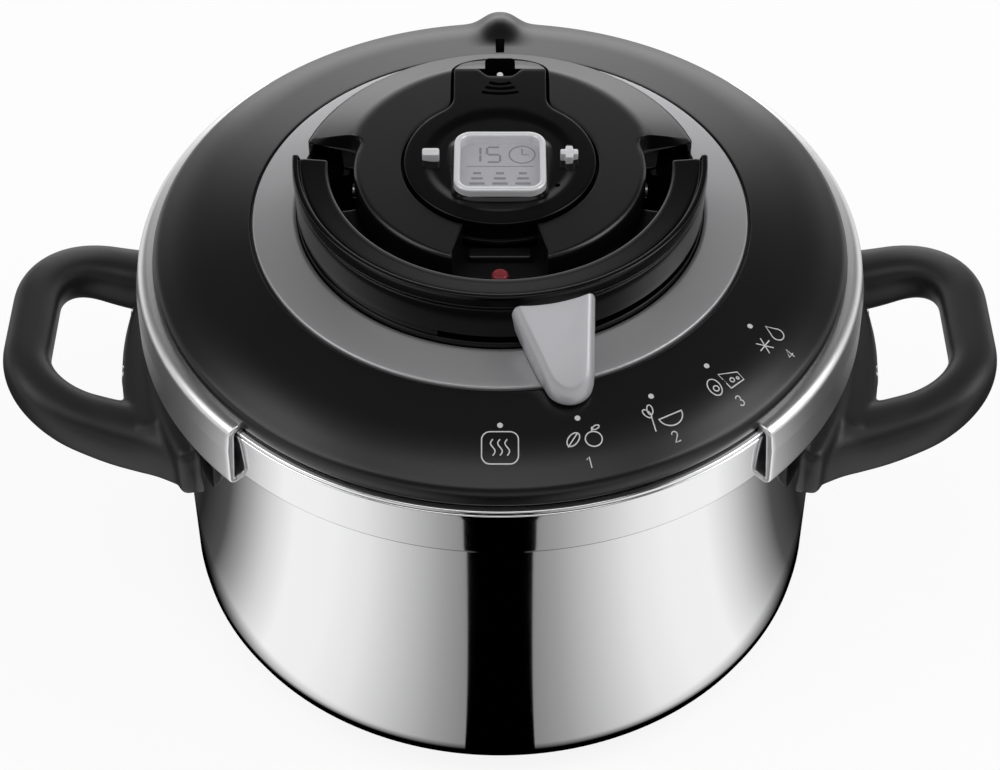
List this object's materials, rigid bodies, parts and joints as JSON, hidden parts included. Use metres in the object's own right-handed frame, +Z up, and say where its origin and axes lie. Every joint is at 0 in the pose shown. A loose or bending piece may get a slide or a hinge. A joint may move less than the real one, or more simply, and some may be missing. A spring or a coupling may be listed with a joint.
{
  "type": "pressure cooker",
  "caption": "Stove-top pressure cooker: steel pot with loop handles, black domed lid closed by sliding jaws under a folding half-ring handle, with a selector lever and a lift-off timer.",
  "frame": {"origin": "centre of the base's underside, on the floor", "axes": "+Z up along the pot's axis, +X towards the right-hand pot handle, -Y towards the front, where the pressure indicator and the selector are"},
  "size_m": [0.342, 0.2366, 0.1896],
  "materials": {
    "pot_steel": "mirror polished",
    "base_aluminium": "satin",
    "plain_steel": "satin",
    "handle_plastic": "matte",
    "seal_rubber": "soft",
    "cover_plastic": "satin",
    "ring_satin": "satin",
    "hub_plastic": "gloss",
    "inner_plastic": "satin",
    "valve_brass": "machined",
    "indicator_red": "gloss",
    "lever_silver": "satin metallic",
    "timer_plastic": "gloss",
    "bezel_silver": "satin metallic",
    "window_clear": "clear",
    "display_grey": "matte",
    "display_ink": "matte",
    "board_green": "satin",
    "mark_grey": "printed"
  },
  "bodies": {
    "pot": {"pot_shell": "pot_steel", "base_disc": "base_aluminium", "right_pot_handle": "handle_plastic", "left_pot_handle": "handle_plastic", "right_handle_bracket": "plain_steel", "left_handle_bracket": "plain_steel", "handle_screws": "plain_steel"},
    "lid": {"lid_plate": "plain_steel", "lid_seal": "seal_rubber", "lid_cover": "cover_plastic", "programme_ring": "ring_satin", "hub_housing": "hub_plastic", "hub_cap": "cover_plastic", "mechanism_frame": "plain_steel", "cover_screws": "plain_steel", "steam_duct": "inner_plastic", "steam_outlet": "inner_plastic", "operating_valve_seat": "valve_brass", "operating_valve_nut": "valve_brass", "operating_valve_bonnet": "inner_plastic", "operating_valve_spring": "plain_steel", "safety_valve_seat": "valve_brass", "safety_valve_nut": "valve_brass", "safety_valve_bonnet": "inner_plastic", "safety_valve_spring": "plain_steel", "indicator_bush": "valve_brass"},
    "bail": {"bail_handle": "hub_plastic", "left_bail_shaft": "plain_steel", "right_bail_shaft": "plain_steel"},
    "right_jaw_body": {"right_jaw": "pot_steel", "right_jaw_follower": "plain_steel"},
    "left_jaw_body": {"left_jaw": "pot_steel", "left_jaw_follower": "plain_steel"},
    "selector": {"selector_lever": "lever_silver", "selector_slider": "inner_plastic"},
    "timer": {"timer_case": "timer_plastic", "timer_base": "timer_plastic", "display_bezel": "bezel_silver", "display_window": "window_clear", "display_panel": "display_grey", "timer_board": "board_green", "switch_domes": "valve_brass", "buzzer": "valve_brass", "battery": "plain_steel", "battery_contacts": "valve_brass"},
    "battery_door_body": {"battery_door": "inner_plastic"},
    "minus_key": {"minus_button": "bezel_silver"},
    "plus_key": {"plus_button": "bezel_silver"},
    "indicator": {"indicator_pin": "plain_steel", "indicator_cap": "indicator_red"},
    "operating_valve": {"operating_valve_plunger": "valve_brass"},
    "safety_valve": {"safety_valve_plunger": "valve_brass"}
  },
  "joints": [
    {"name": "lid_lift", "type": "slide", "parent": "pot", "child": "lid", "axis": [0, 0, 1], "range_m": [0, 0.16]},
    {"name": "bail_hinge", "type": "hinge", "parent": "lid", "child": "bail", "pos_m": [0, 0, 0.1725], "axis": [-1, 0, 0], "range_deg": [0, 90]},
    {"name": "right_jaw_slide", "type": "slide", "parent": "lid", "child": "right_jaw_body", "axis": [1, 0, 0], "range_m": [0, 0.009]},
    {"name": "left_jaw_slide", "type": "slide", "parent": "lid", "child": "left_jaw_body", "axis": [-1, 0, 0], "range_m": [0, 0.009]},
    {"name": "selector_turn", "type": "hinge", "parent": "lid", "child": "selector", "pos_m": [0, 0, 0.1696], "axis": [0, 0, 1], "range_deg": [-14.5, 42.5]},
    {"name": "timer_lift", "type": "slide", "parent": "lid", "child": "timer", "axis": [0, 0, 1], "range_m": [0, 0.025]},
    {"name": "battery_door_turn", "type": "hinge", "parent": "timer", "child": "battery_door_body", "pos_m": [0, 0.0422, 0.171], "axis": [0, 0, 1], "range_deg": [-45, 0]},
    {"name": "minus_press", "type": "slide", "parent": "timer", "child": "minus_key", "axis": [0, 0, -1], "range_m": [0, 0.0007], "stiffness_N_per_m": 600},
    {"name": "plus_press", "type": "slide", "parent": "timer", "child": "plus_key", "axis": [0, 0, -1], "range_m": [0, 0.0007], "stiffness_N_per_m": 600},
    {"name": "indicator_rise", "type": "slide", "parent": "lid", "child": "indicator", "axis": [0, 0, 1], "range_m": [0, 0.004]},
    {"name": "operating_valve_lift", "type": "slide", "parent": "lid", "child": "operating_valve", "axis": [0, 0, 1], "range_m": [0, 0.002], "stiffness_N_per_m": 900, "deforming": ["operating_valve_spring"]},
    {"name": "safety_valve_lift", "type": "slide", "parent": "lid", "child": "safety_valve", "axis": [0, 0, 1], "range_m": [0, 0.002], "stiffness_N_per_m": 1800, "deforming": ["safety_valve_spring"]}
  ],
  "couplings": [
    {"joint": "bail_hinge", "follows": "right_jaw_slide", "rad_per_m": 174.53},
    {"joint": "left_jaw_slide", "follows": "right_jaw_slide", "ratio": 1}
  ]
}
